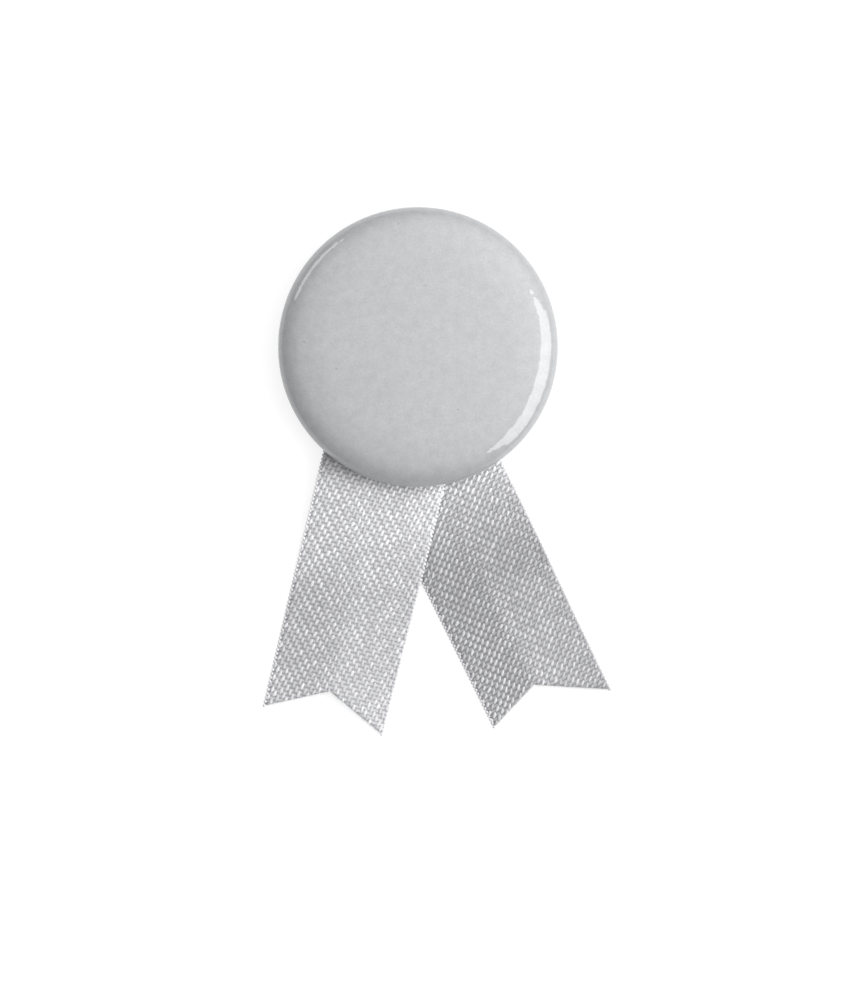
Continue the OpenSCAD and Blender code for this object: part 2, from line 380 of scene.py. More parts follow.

# %% [markdown]
# ## The ribbon's form
#
# Each tail leaves the button between the lip and what it lies on, comes down to the surface, and was
# folded lengthwise when its notch was cut, so that a low crease still runs along its middle. A short
# table gives, at a few places along the tail, the height of its edges, the height of the crease over
# them, and how far one edge stands over the other. A curve that never runs past its rows reads the table.
# The strip keeps its real width: where it is folded, its two halves lean and look narrower from above.
# Satin looks lighter or darker as it bends to the light. The table's last two columns are painted light
# and shade: they make the satin's colour lighter or darker along and across each tail, and paint the
# badge's shadow on the left tail just under the rim, so that the soft light and dark bands lie where they
# do on the real ribbon.

# %% Sizes of the ribbon, in mm
RIBBON_W, CLOTH = 16.4, 0.3
HALF_W = RIBBON_W / 2
CROSSING, HIDDEN_END, CREASE_ROUND = (-2.2, -6.6), 7.0, 0.8
FLOOR_Z = -2.9
DISH_FLAT_R, DISH_EDGE_R, DISH_H = 9.0, 14.4, 0.5
LEFT_ROWS = [
    # along, lift, crease, tilt, painted light and shade, how much lighter the right edge is painted than
    # the left
    (-7, 1.90, 0, 0, 1.3, 0),
    # Just under the rim the left edge is painted darker than the right: a painted shadow of the badge
    (11, 1.90, 0, 0, 1.34, 1.0),
    (13, 1.88, 0, 0, 1.44, 0.3),
    (18, 1.60, 0.2, 0.4, 1.41, 0.02),
    (23, 0.90, 0.55, 0.8, 1.35, -0.17),
    (29, 0.16, 1.0, 0.15, 1.16, 0.12),
    (36, 0.02, 1.35, 0, 1.18, 0),
    (44.2, 0.02, 1.6, 0, 1.32, 0),
]
RIGHT_ROWS = [
    # along, lift, crease, tilt, painted light and shade, how much lighter the right edge is painted than
    # the left
    (-7, 1.44, 0, 0, 1.2, 0),
    (12, 1.44, 0, 0, 1.6, 0.8),
    (17, 1.0, 0.12, 0, 1.22, 0.2),
    (23, 0.3, 0.7, 0, 0.97, -0.05),
    (26.5, 0.11, 0.96, 0, 0.91, -0.18),
    (30, 0.02, 1.2, 0, 1.0, -0.08),
    (38, 0.02, 1.6, 0, 1.06, -0.15),
    (47, 0.32, 1.8, 0.6, 1.14, -0.35),
]
TAILS = {
    # rows, lean in degrees, crease place, left tip, notch, right tip, painted lightness of the crossing
    # threads on that tail
    "left": (LEFT_ROWS, -13.7, 0.0, 44.1, 40.1, 44.1, 0.92),
    "right": (RIGHT_ROWS, 25.8, -0.8, 44.8, 41.9, 46.9, 0.78),
}
print("the tails are", [round(max(t[3], t[5]) + HIDDEN_END, 1) for t in TAILS.values()], "mm long")

# %% Reading a table


def slope_between(rows, c, i):
    """The slope of column c from row i to the next."""
    return (rows[i + 1][c] - rows[i][c]) / (rows[i + 1][0] - rows[i][0])


def row_slope(rows, c, i):
    """The slope at a row: level at a peak or an end, so that the curve never runs past a row."""
    if i <= 0 or i >= len(rows) - 1:
        return 0.0
    a, b = slope_between(rows, c, i - 1), slope_between(rows, c, i)
    return 0.0 if a * b <= 0 else 2 * a * b / (a + b)


def at(rows, c, s):
    """Column c of a table at the place s along the tail."""
    i = max([k for k in range(len(rows) - 1) if rows[k][0] <= s], default=0)
    gap = rows[i + 1][0] - rows[i][0]
    u = min(max((s - rows[i][0]) / gap, 0), 1)
    a, b = rows[i][c], rows[i + 1][c]
    ma, mb = row_slope(rows, c, i) * gap, row_slope(rows, c, i + 1) * gap
    return a + u * ma + u * u * (3 * (b - a) - 2 * ma - mb) + u**3 * (2 * (a - b) + ma + mb)


print("20 mm down, the left tail's edges are", round(at(LEFT_ROWS, 1, 20), 2), "mm up")

# %% The surface of a tail


def dish(r):
    """How far the hollow behind the lip lets the ribbons up, at a distance from the button's axis."""
    u = min(max((DISH_EDGE_R - r) / (DISH_EDGE_R - DISH_FLAT_R), 0), 1)
    return DISH_H * u * u * (3 - 2 * u)


def cut_end(tail, t):
    """Where the notched end lies, for a place across."""
    fold, left, notch, right = tail[2:6]
    if t < fold:
        return notch + (left - notch) * (fold - t) / (fold + HALF_W)
    return notch + (right - notch) * (t - fold) / (HALF_W - fold)


def tail_point(tail, s, t):
    """A point on the upper side of a tail, at s along and t across the flat ribbon."""
    rows, lean, fold = tail[:3]
    side = HALF_W + fold if t < fold else HALF_W - fold
    crease = at(rows, 2, s)
    flank = math.asin(crease / side)
    away = abs(t - fold)
    edge = math.hypot(side, CREASE_ROUND)
    soft = math.hypot(away, CREASE_ROUND) - (edge - side) * away / side
    across = fold + (t - fold) * math.cos(flank)
    c, n = math.cos(math.radians(lean)), math.sin(math.radians(lean))
    x = CROSSING[0] + s * n + across * c
    y = CROSSING[1] - s * c + across * n
    low = at(rows, 1, s) + dish(math.hypot(x, y)) + crease * (1 - soft / side)
    return x, y, FLOOR_Z + low + at(rows, 3, s) * t / RIBBON_W + CLOTH / math.cos(flank)


print("left tip at", [round(c, 1) for c in tail_point(TAILS["left"], 44.1, -HALF_W)])

# %% [markdown]
# ## Finish: satin
#
# In satin most of the yarn floats over several threads before it dips under one, and the dips are spread
# out so that no two touch. What shows is a field of small plump floats with shadowed gaps between them.
# Bright polyester yarn has a soft sheen. The gaps show the threads that run the other way, which lie
# deeper;
# their grey is darker, partly their own tone and partly painted shade of the gaps. The back of the ribbon
# is flat and dull. The greys of yarn and crossing threads are multiplied by the painted light and shade of
# the place.

# %% What the satin's materials share
FLAT = 60.0  # mm of flat ribbon to one unit of its UV map
THREAD = 0.545  # mm from one row of floats to the next, with a crossing thread under each
WAVE_BANDS = 20 / (2 * math.pi)  # bands that a wave texture draws on one unit at scale 1


def apply_painted_shading(tree, colour, painted_shading):
    """The colour times the painted light and shade of the place, which is an attribute of the mesh."""
    factor = add(tree, "ShaderNodeAttribute", attribute_name=painted_shading).outputs["Fac"]
    return add(tree, VECTOR_MATH, {0: colour, 3: factor}, operation="SCALE").outputs[0]


def crossing_threads(tree, dark, light):
    """Where the crossing threads are, and a colour that goes from dark to light over them."""
    flat = add(tree, "ShaderNodeUVMap", uv_map="flat")
    threads = add(
        tree,
        "ShaderNodeTexWave",
        {"Vector": flat, "Scale": FLAT / THREAD / WAVE_BANDS, "Distortion": 0.5},
        bands_direction="Y",
    ).outputs["Fac"]
    between = {0: threads, 6: linear(dark), 7: linear(light)}
    return threads, add(tree, "ShaderNodeMix", between, data_type="RGBA").outputs[2]


print("a unit of the UV map holds", round(FLAT / THREAD), "crossing threads")

# %% Satin yarn, the ground under it, and the dull back
# Bright polyester yarn: each float is a light grey with a soft glow along it and no sharp light
satin_yarn, tree, shader = new_material(
    "satin_yarn", Roughness=0.55, Specular_IOR_Level=0.1, Sheen_Weight=0.05, Sheen_Roughness=0.4
)
tone = add(tree, "ShaderNodeAttribute", attribute_name="tone").outputs["Fac"]
between = {0: tone, 6: linear("#9c9c9e"), 7: linear("#bababc")}
yarn_grey = add(tree, "ShaderNodeMix", between, data_type="RGBA").outputs[2]
# The yarn's grey is multiplied by the painted light and shade of its place
tree.links.new(apply_painted_shading(tree, yarn_grey, "painted_shading"), shader.inputs["Base Color"])

# The crossing threads lie deeper and are matt; their darker grey is partly their own tone, partly painted
# shade
satin_ground, tree, shader = new_material("satin_ground", Roughness=0.6)
_, ground_grey_and_shade = crossing_threads(tree, "#808083", "#a8a8ab")
tree.links.new(apply_painted_shading(tree, ground_grey_and_shade, "ground_painted_shading"), shader.inputs["Base Color"])

# The back of satin shows the crossing threads alone, as fine dull ribs
satin_back, tree, shader = new_material("satin_back", Roughness=0.65, Sheen_Weight=0.1)
threads, back_grey = crossing_threads(tree, "#8c8c90", "#a0a0a4")
tree.links.new(back_grey, shader.inputs["Base Color"])
ribs = add(tree, "ShaderNodeBump", {"Height": threads, "Strength": 0.8, "Distance": 0.04 * MM})
tree.links.new(ribs.outputs[0], shader.inputs["Normal"])
print("made", satin_yarn.name, satin_ground.name, satin_back.name)

# %% [markdown]
# ## The cloth
#
# The ground of each tail is one sheet of cloth, laid out flat as a grid of places along and across, and
# put where the table says. Its UV map keeps the flat places, so that the weave can be drawn on it as on a
# real ribbon. It has no thickness yet, because the woven yarn is looked up on its upper side.

# %% The cloth of both tails
STATIONS, ACROSS = 110, 16  # steps along a tail, and across each half of it
CROWDING = 1.2  # over 1, so that the places across lie closer together at the crease


def flat_cloth(name, tail):
    """The upper side of a tail as a grid, with the flat ribbon as its UV map."""
    fold = tail[2]
    across = [fold - (HALF_W + fold) * (k / ACROSS) ** CROWDING for k in range(ACROSS, 0, -1)]
    across += [fold + (HALF_W - fold) * (k / ACROSS) ** CROWDING for k in range(ACROSS + 1)]
    places = []
    for i in range(STATIONS + 1):
        places += [(t, (cut_end(tail, t) + HIDDEN_END) * i / STATIONS - HIDDEN_END) for t in across]
    n = len(across)
    faces = [
        (i * n + j, (i + 1) * n + j, (i + 1) * n + j + 1, i * n + j + 1)
        for i in range(STATIONS)
        for j in range(n - 1)
    ]
    cloth = mesh_object(name, [tail_point(tail, s, t) for t, s in places], faces, satin_ground)
    cloth.data.materials.append(satin_back)
    # Painted light and shade at each place of the cloth; the crossing threads get a share of it set for
    # each tail
    painted_shading = [at(tail[0], 4, s) + at(tail[0], 5, s) * t / RIBBON_W for t, s in places]
    for key, share in (("painted_shading", 1.0), ("ground_painted_shading", tail[6])):
        attribute = cloth.data.attributes.new(key, "FLOAT", "POINT")
        attribute.data.foreach_set("value", [value * share for value in painted_shading])
    layer = cloth.data.uv_layers.new(name="flat")
    for loop in cloth.data.loops:
        t, s = places[loop.vertex_index]
        layer.data[loop.index].uv = (0.5 + t / FLAT, (s + HIDDEN_END) / FLAT)
    return cloth


sheets = {side: flat_cloth(side + "_cloth", tail) for side, tail in TAILS.items()}
for side, cloth in sheets.items():
    area = sum(face.area for face in cloth.data.polygons) / MM**2
    print(side, f"cloth is {area:.0f} square mm")

# %% [markdown]
# ## Trees with named inputs
#
# A Geometry Nodes tree is built like a material, node by node. Its sizes come in by name, so that one tree
# serves both tails. It is run once, and what it made is kept as a plain mesh, which any program can read.
# A few helpers hold what more than one tree needs: its two ends, the line of the notch, the ball that a
# piece of yarn is drawn out from, and a tone of its own for each piece.

# %% The two ends of a tree
FLOAT, VECTOR, WHOLE = "NodeSocketFloat", "NodeSocketVector", "NodeSocketInt"
MATERIAL = "NodeSocketMaterial"


def tree_with(name, sockets):
    """A Geometry Nodes tree with named inputs, and the sockets at its two ends."""
    tree = bpy.data.node_groups.new(name, "GeometryNodeTree")
    for socket, kind in [("Geometry", "NodeSocketGeometry")] + sockets:
        tree.interface.new_socket(socket, in_out="INPUT", socket_type=kind)
    tree.interface.new_socket("Geometry", in_out="OUTPUT", socket_type="NodeSocketGeometry")
    return tree, add(tree, "NodeGroupInput").outputs, add(tree, "NodeGroupOutput").inputs


def count_nodes(tree):
    """Prints how many nodes a tree has so far."""
    print(tree.name, "has", len(tree.nodes), "nodes")


def dress(tree, geometry, material, result):
    """Ends a tree with smooth shading and a material."""
    smooth = add(tree, "GeometryNodeSetShadeSmooth", {"Geometry": geometry})
    done = add(tree, "GeometryNodeSetMaterial", {"Geometry": smooth, "Material": material})
    tree.links.new(done.outputs[0], result[0])
    count_nodes(tree)


print("kinds of socket:", FLOAT, VECTOR, WHOLE, MATERIAL)

# %% Running a tree


def baked(thing):
    """The object with its modifiers worked into a plain mesh. A curve gives way to a mesh object."""
    bpy.context.view_layer.update()
    made = thing.evaluated_get(bpy.context.evaluated_depsgraph_get())
    mesh = bpy.data.meshes.new_from_object(made)
    name = thing.name
    thing.modifiers.clear()
    if thing.type != "MESH":
        bpy.data.objects.remove(thing)
        thing = bpy.data.objects.new(name, mesh)
        bpy.context.scene.collection.objects.link(thing)
    thing.data = mesh
    return thing


def run_tree(name, data, tree, values):
    """Runs a tree on a copy of a mesh or curve, and returns the result as a plain object."""
    thing = bpy.data.objects.new(name, data.copy())
    bpy.context.scene.collection.objects.link(thing)
    modifier = thing.modifiers.new(name, "NODES")
    modifier.node_group = tree
    names = {s.name: s.identifier for s in tree.interface.items_tree if s.in_out == "INPUT"}
    for key, value in values.items():
        modifier[names[key]] = value
    made = baked(thing)
    print(name, "has", len(made.data.vertices), "vertices")
    return made


# %% Balls of yarn, each with its own tone
FLOAT_BALL, TRIM_BALL = (8, 7), (6, 6)  # segments and rings


def ball(tree, segments, rings):
    """A ball 1 across with its poles on Y, which a size then draws out along Y."""
    upright = add(tree, "GeometryNodeMeshUVSphere", {"Segments": segments, "Rings": rings, "Radius": 0.5})
    return add(tree, "GeometryNodeTransform", {"Geometry": upright, "Rotation": (math.pi / 2, 0, 0)})


def toned(tree, laid, least, seed):
    """Gives each instance a tone from least to 1, and makes plain meshes of them all."""
    tone = add(tree, "FunctionNodeRandomValue", {2: least, 3: 1.0, "Seed": seed})
    stored = add(
        tree,
        "GeometryNodeStoreNamedAttribute",
        {"Geometry": laid, "Name": "tone", "Value": tone.outputs[1]},
        domain="INSTANCE",
    )
    return add(tree, "GeometryNodeRealizeInstances", {"Geometry": stored})


print("a float has", math.prod(FLOAT_BALL), "faces, and a loop has", math.prod(TRIM_BALL))

# %% A tail's outline, in Python and in a tree
LIMITS = [(n, FLOAT) for n in ("Half Width", "Hidden End", "Fold Place", "Notch")]
LIMITS += [("Left Slope", FLOAT), ("Right Slope", FLOAT)]


def tail_limits(tail):
    """A tail's outline as the trees want it, in metres and slopes."""
    fold, left, notch, right = tail[2:6]
    return {
        "Half Width": HALF_W * MM,
        "Hidden End": HIDDEN_END * MM,
        "Fold Place": fold * MM,
        "Notch": notch * MM,
        "Left Slope": (left - notch) / (fold + HALF_W),
        "Right Slope": (right - notch) / (HALF_W - fold),
    }


def cut_line(tree, given, t):
    """The same sum as cut_end, in nodes: where the notched end lies, for a place across."""
    off = add(tree, MATH, {0: t, 1: given["Fold Place"]}, operation="SUBTRACT")
    right = add(tree, MATH, {0: off, 1: 0.0}, operation="MAXIMUM")
    left = add(tree, MATH, {0: off, 1: 0.0}, operation="MINIMUM")
    right = add(tree, MATH, {0: right, 1: given["Right Slope"]}, operation="MULTIPLY")
    left = add(tree, MATH, {0: left, 1: given["Left Slope"]}, operation="MULTIPLY")
    cut = add(tree, MATH, {0: given["Notch"], 1: right}, operation="ADD")
    return add(tree, MATH, {0: cut, 1: left}, operation="SUBTRACT")


for side, tail in TAILS.items():
    print(side, {key: round(value, 4) for key, value in tail_limits(tail).items()})

# %% [markdown]
# ## Wrapping a flat pattern on the ribbon
#
# A pattern is easiest to make flat. Geometry Nodes then look up every point of it on the cloth, through
# the UV map, and lift it off the cloth by its own height. One group does that for every pattern. It also
# trims the pattern: what would pass the long edges or the notch is pushed back to them, as if cut.

# %% Where a point of the pattern is on the UV map
CUT_INSET = 0.01 * MM  # the pattern stops this far inside the edge of the cloth, so that it is always found
wrap, given, result = tree_with("wrap_on_ribbon", [("Pattern", "NodeSocketGeometry")] + LIMITS)
spot = add(wrap, "ShaderNodeSeparateXYZ", {0: add(wrap, "GeometryNodeInputPosition")})
limit = add(wrap, MATH, {0: given["Half Width"], 1: CUT_INSET}, operation="SUBTRACT")
other_side = add(wrap, MATH, {0: limit, 1: -1.0}, operation="MULTIPLY")
t = add(wrap, MATH, {0: spot.outputs[0], 1: limit}, operation="MINIMUM")
t = add(wrap, MATH, {0: t, 1: other_side}, operation="MAXIMUM")
end = add(wrap, MATH, {0: cut_line(wrap, given, t), 1: CUT_INSET}, operation="SUBTRACT")
start = add(wrap, MATH, {0: CUT_INSET, 1: given["Hidden End"]}, operation="SUBTRACT")
s = add(wrap, MATH, {0: spot.outputs[1], 1: end}, operation="MINIMUM")
s = add(wrap, MATH, {0: s, 1: start}, operation="MAXIMUM")
u = add(wrap, MATH, {0: t, 1: FLAT * MM}, operation="DIVIDE")
u = add(wrap, MATH, {0: u, 1: 0.5}, operation="ADD")
v = add(wrap, MATH, {0: s, 1: given["Hidden End"]}, operation="ADD")
v = add(wrap, MATH, {0: v, 1: FLAT * MM}, operation="DIVIDE")
uv = add(wrap, "ShaderNodeCombineXYZ", {0: u, 1: v})
print("the pattern is cut", CUT_INSET / MM, "mm inside the edge")

# %% Looking it up on the cloth, and moving it there
flat_map = add(wrap, "GeometryNodeInputNamedAttribute", {"Name": "flat"}, data_type="FLOAT_VECTOR")
cloth_painted_shading = add(wrap, "GeometryNodeInputNamedAttribute", {"Name": "painted_shading"})
wanted = {
    "place": ("FLOAT_VECTOR", add(wrap, "GeometryNodeInputPosition")),
    "normal": ("FLOAT_VECTOR", add(wrap, "GeometryNodeInputNormal")),
    "painted_shading": ("FLOAT", cloth_painted_shading),
}
found = {}
for what, (kind, field) in wanted.items():
    found[what] = add(
        wrap,
        "GeometryNodeSampleUVSurface",
        {0: given["Geometry"], 1: field, 2: flat_map, 3: uv},
        data_type=kind,
    )
lift = add(wrap, VECTOR_MATH, {0: found["normal"], 3: spot.outputs[2]}, operation="SCALE")
new_place = add(wrap, VECTOR_MATH, {0: found["place"], 1: lift}, operation="ADD")
# The painted light and shade is stored first, because every look-up here needs the places of the flat
# pattern
pattern_with_painted_shading = add(
    wrap,
    "GeometryNodeStoreNamedAttribute",
    {"Geometry": given["Pattern"], "Name": "painted_shading", "Value": found["painted_shading"]},
)
moved = add(wrap, "GeometryNodeSetPosition", {"Geometry": pattern_with_painted_shading, "Position": new_place})
wrap.links.new(moved.outputs[0], result[0])
count_nodes(wrap)

# %% [markdown]
# ## The floats
#
# An eight-shaft satin lifts every eighth thread, and each new row lifts the one three threads further on.
# So a float's place follows from its number: its row, its column, and the step of the satin. Each float
# leans a little off the ribbon's length. One plump float is a flattened ball, and it is put at each place
# with a small random change of size, turn and tone, under a fixed seed.

# %% Which thread is lifted, from a float's number
weave, given, result = tree_with(
    "satin_floats",
    LIMITS
    + [(n, VECTOR) for n in ("Warp Step", "Weft Step", "First Float", "Float Size", "Stray")]
    + [("Lean", FLOAT), ("Shafts", WHOLE), ("Satin Step", WHOLE), ("Columns", WHOLE), ("Rows", WHOLE)]
    + [("Seed", WHOLE), ("Yarn", MATERIAL)],
)
number = add(weave, "GeometryNodeInputIndex")
row = add(weave, MATH, {0: number, 1: given["Columns"]}, operation="DIVIDE")
row = add(weave, MATH, {0: row}, operation="FLOOR")
rows_before = add(weave, MATH, {0: row, 1: given["Columns"]}, operation="MULTIPLY")
column = add(weave, MATH, {0: number, 1: rows_before}, operation="SUBTRACT")
shift = add(weave, MATH, {0: row, 1: given["Satin Step"]}, operation="MULTIPLY")
shift = add(weave, MATH, {0: shift, 1: given["Shafts"]}, operation="MODULO")
thread = add(weave, MATH, {0: column, 1: given["Shafts"]}, operation="MULTIPLY")
thread = add(weave, MATH, {0: thread, 1: shift}, operation="ADD")
count_nodes(weave)

# %% A point for each float
seeds = [add(weave, MATH, {0: given["Seed"], 1: float(k)}, operation="ADD") for k in range(4)]
warp = add(weave, VECTOR_MATH, {0: given["Warp Step"], 3: thread}, operation="SCALE")
weft = add(weave, VECTOR_MATH, {0: given["Weft Step"], 3: row}, operation="SCALE")
place = add(weave, VECTOR_MATH, {0: warp, 1: weft}, operation="ADD")
place = add(weave, VECTOR_MATH, {0: place, 1: given["First Float"]}, operation="ADD")
loose = add(
    weave,
    "FunctionNodeRandomValue",
    {0: (-0.5, -0.5, -0.5), 1: (0.5, 0.5, 0.5), "Seed": seeds[3]},
    data_type="FLOAT_VECTOR",
)
stray = add(weave, VECTOR_MATH, {0: loose, 1: given["Stray"]}, operation="MULTIPLY")
place = add(weave, VECTOR_MATH, {0: place, 1: stray}, operation="ADD")
count = add(weave, MATH, {0: given["Columns"], 1: given["Rows"]}, operation="MULTIPLY")
points = add(weave, "GeometryNodePoints", {"Count": count, "Position": place})
count_nodes(weave)

# %% Dropping the points past the edges of the tail
spot = add(weave, "ShaderNodeSeparateXYZ", {0: add(weave, "GeometryNodeInputPosition")})
across, along = spot.outputs[0], spot.outputs[1]
wide = add(weave, MATH, {0: across}, operation="ABSOLUTE")
wide = add(weave, MATH, {0: wide, 1: given["Half Width"]}, operation="SUBTRACT")
past = add(weave, MATH, {0: along, 1: cut_line(weave, given, across)}, operation="SUBTRACT")
start = add(weave, MATH, {0: given["Hidden End"], 1: -1.0}, operation="MULTIPLY")
before = add(weave, MATH, {0: start, 1: along}, operation="SUBTRACT")
worst = add(weave, MATH, {0: wide, 1: past}, operation="MAXIMUM")
worst = add(weave, MATH, {0: worst, 1: before}, operation="MAXIMUM")
outside = add(weave, MATH, {0: worst, 1: 0.0}, operation="GREATER_THAN")
kept = add(weave, "GeometryNodeDeleteGeometry", {"Geometry": points, "Selection": outside})
count_nodes(weave)

# %% A float at each point, wrapped on the ribbon
SMALL, LARGE = (0.88, 0.86, 0.85), (1.12, 1.14, 1.15)  # the least and the greatest share of a float's size
WOBBLE = 0.16  # radians that a float may turn either way
uneven = add(
    weave, "FunctionNodeRandomValue", {0: SMALL, 1: LARGE, "Seed": seeds[0]}, data_type="FLOAT_VECTOR"
)
size = add(weave, VECTOR_MATH, {0: given["Float Size"], 1: uneven}, operation="MULTIPLY")
wobble = add(weave, "FunctionNodeRandomValue", {2: -WOBBLE, 3: WOBBLE, "Seed": seeds[1]})
turn = add(weave, MATH, {0: given["Lean"], 1: wobble.outputs[1]}, operation="ADD")
turn = add(weave, "ShaderNodeCombineXYZ", {2: turn})
turn = add(weave, "FunctionNodeEulerToRotation", {0: turn})
laid = add(
    weave,
    "GeometryNodeInstanceOnPoints",
    {"Points": kept, "Instance": ball(weave, *FLOAT_BALL), "Rotation": turn, "Scale": size},
)
group = add(weave, "GeometryNodeGroup", node_tree=wrap)
for key in ["Geometry"] + [name for name, _ in LIMITS]:
    weave.links.new(given[key], group.inputs[key])
weave.links.new(toned(weave, laid, 0.0, seeds[2]).outputs[0], group.inputs["Pattern"])
dress(weave, group, given["Yarn"], result)

# %% [markdown]
# ## Weaving both tails
#
# The sizes of the weave are those of a coarse satin: a thread every 0.15 mm across, a row every 0.545 mm
# along, and floats 0.88 mm long and 0.41 mm wide. The floats lean further off the ribbon's length on the
# right tail than on the left one.

# %% Weaving
WEAVE = {
    "Warp Step": (0.1503 * MM, -0.0113 * MM, 0),
    "Weft Step": (0.0116 * MM, 0.5448 * MM, 0),
    "First Float": (-9.6 * MM, -7.2 * MM, 0.01 * MM),
    "Float Size": (0.41 * MM, 0.88 * MM, 0.22 * MM),
    "Stray": (0.05 * MM, 0.07 * MM, 0.03 * MM),
    "Shafts": 8,
    "Satin Step": 3,
    "Columns": 17,
    "Rows": 104,
    "Yarn": satin_yarn,
}
# How far the floats lean off the ribbon's length, in degrees
FLOAT_LEAN = {"left": 15.0, "right": 46.0}
floats = {}
for seed, (side, tail) in enumerate(TAILS.items()):
    values = {**WEAVE, **tail_limits(tail), "Lean": math.radians(FLOAT_LEAN[side]), "Seed": 40 + seed}
    floats[side] = run_tree(side + "_floats", sheets[side].data, weave, values)

# %% [markdown]
# ## Selvedges and the cut ends
#
# At a woven edge the crossing thread turns back, so a row of small loops shows there. At a cut end single
# filaments stand out. Both follow an edge of the cloth, so one tree makes them: it takes the long edges or
# the cut ones as a curve, marks it off evenly, and puts a small drawn-out ball at each mark.

# %% Picking the edges
trim, given, result = tree_with(
    "edge_yarn",
    [("Cut Edge", "NodeSocketBool"), ("Half Width", FLOAT), ("Spacing", FLOAT), ("Yarn Size", VECTOR)]
    + [("Sink", FLOAT), ("Wobble", FLOAT), ("Seed", WHOLE), ("Yarn", MATERIAL)],
)
beside = add(trim, "GeometryNodeInputMeshEdgeNeighbors")
is_open = add(trim, MATH, {0: beside, 1: 1.0, 2: 0.1}, operation="COMPARE")
flat = add(trim, "GeometryNodeInputNamedAttribute", {"Name": "flat"}, data_type="FLOAT_VECTOR")
spot = add(trim, "ShaderNodeSeparateXYZ", {0: flat})
away = add(trim, MATH, {0: spot.outputs[0], 1: 0.5}, operation="SUBTRACT")
away = add(trim, MATH, {0: away}, operation="ABSOLUTE")
away = add(trim, MATH, {0: away, 1: FLAT * MM}, operation="MULTIPLY")
# A long edge is the full half width from the middle, apart from rounding
nearly = add(trim, MATH, {0: given["Half Width"], 1: 0.999}, operation="MULTIPLY")
is_long = add(trim, MATH, {0: away, 1: nearly}, operation="GREATER_THAN")
is_short = add(trim, MATH, {0: 1.0, 1: is_long}, operation="SUBTRACT")
# The notched end is in the farther half of the UV map, and the hidden one in the nearer
is_far = add(trim, MATH, {0: spot.outputs[1], 1: 0.5}, operation="GREATER_THAN")
is_cut = add(trim, MATH, {0: is_short, 1: is_far}, operation="MULTIPLY")
wanted = add(trim, "ShaderNodeMix", {0: given["Cut Edge"], 2: is_long, 3: is_cut})
chosen = add(trim, MATH, {0: is_open, 1: wanted}, operation="MULTIPLY")
count_nodes(trim)

# %% Marks along the edges
normal = add(trim, "GeometryNodeInputNormal")
marked = add(
    trim,
    "GeometryNodeStoreNamedAttribute",
    {"Geometry": given["Geometry"], "Name": "up", 3: normal},
    data_type="FLOAT_VECTOR",
)
edge = add(trim, "GeometryNodeMeshToCurve", {"Mesh": marked, "Selection": chosen})
marks = add(trim, "GeometryNodeResampleCurve", {"Curve": edge, "Length": given["Spacing"]}, mode="LENGTH")
up = add(trim, "GeometryNodeInputNamedAttribute", {"Name": "up"}, data_type="FLOAT_VECTOR")
sunk = add(trim, VECTOR_MATH, {0: up, 3: given["Sink"]}, operation="SCALE")
marks = add(trim, "GeometryNodeSetPosition", {"Geometry": marks, "Offset": sunk})
count_nodes(trim)

# %% A piece of yarn at each mark
along = add(trim, "GeometryNodeInputTangent")
turn = add(trim, "FunctionNodeAxesToRotation", {0: up, 1: along}, primary_axis="Z", secondary_axis="X")
wild = add(
    trim,
    "FunctionNodeRandomValue",
    {0: (-1, -0.5, -1), 1: (1, 0.5, 1), "Seed": given["Seed"]},
    data_type="FLOAT_VECTOR",
)
wild = add(trim, VECTOR_MATH, {0: wild, 3: given["Wobble"]}, operation="SCALE")
wild = add(trim, "FunctionNodeEulerToRotation", {0: wild})
turn = add(trim, "FunctionNodeRotateRotation", {0: turn, 1: wild}, rotation_space="LOCAL")
laid = add(
    trim,
    "GeometryNodeInstanceOnPoints",
    {"Points": marks, "Instance": ball(trim, *TRIM_BALL), "Rotation": turn, "Scale": given["Yarn Size"]},
)
# Loops and frayed ends take tones from 0.6 up, lighter than the floats: painted light on edges that lie in
# shade
dress(trim, toned(trim, laid, 0.6, given["Seed"]), given["Yarn"], result)

# %% Trimming both tails
LOOPS = {
    "Cut Edge": False,
    "Half Width": HALF_W * MM,
    "Spacing": THREAD * MM,
    "Yarn Size": (0.5 * MM, 0.42 * MM, 0.3 * MM),
    "Sink": -0.03 * MM,
    "Wobble": 0.12,
    "Yarn": satin_yarn,
}
FRAY = {
    **LOOPS,
    "Cut Edge": True,
    "Spacing": 0.14 * MM,
    "Yarn Size": (0.06 * MM, 0.6 * MM, 0.06 * MM),
    "Wobble": 0.7,
}
trims = {}
for seed, (side, cloth) in enumerate(sheets.items()):
    loops = run_tree(side + "_edges", cloth.data, trim, {**LOOPS, "Seed": 50 + seed})
    fray = run_tree(side + "_fray", cloth.data, trim, {**FRAY, "Seed": 60 + seed})
    trims[side] = [loops, fray]

# %% [markdown]
# ## Thickness, and what the finished tails are
#
# Solidify gives the cloth its thickness downwards and puts the dull back on the new side. The cloth takes
# the place of the CAD's plain strip, and the floats, loops and frayed ends go on the CAD body with it.

# %% The finished tails
for side, cloth in sheets.items():
    wall = cloth.modifiers.new("wall", "SOLIDIFY")
    wall.thickness, wall.offset = CLOTH * MM, -1.0
    wall.material_offset = wall.material_offset_rim = 1
    baked(cloth)
    finish_piece(cloth, "ribbon_satin", "ribbon_" + side)
    for piece in [floats[side], *trims[side]]:
        finish_piece(piece, "ribbon_satin")

# %% [markdown]
# ## The pin
#
# The pin is one length of spring wire, 0.8 mm thick, bent into a long flat loop: a back leg, a spring
# bend, an arm that rises to a sharp tip, and a hook that hides the tip. A wire is a round section carried
# along a path, which is what Curve to Mesh does, and the path's own radius thins it to the point.

# %% Nickel-plated wire
# Nickel plate over drawn steel: a warm light grey mirror, blurred a little by the drawing marks
nickel, tree, shader = new_material(
    "nickel_wire", Metallic=1.0, Roughness=0.22, Base_Color=linear("#d2d0cb")
)
place = add(tree, "ShaderNodeTexCoord").outputs["Object"]
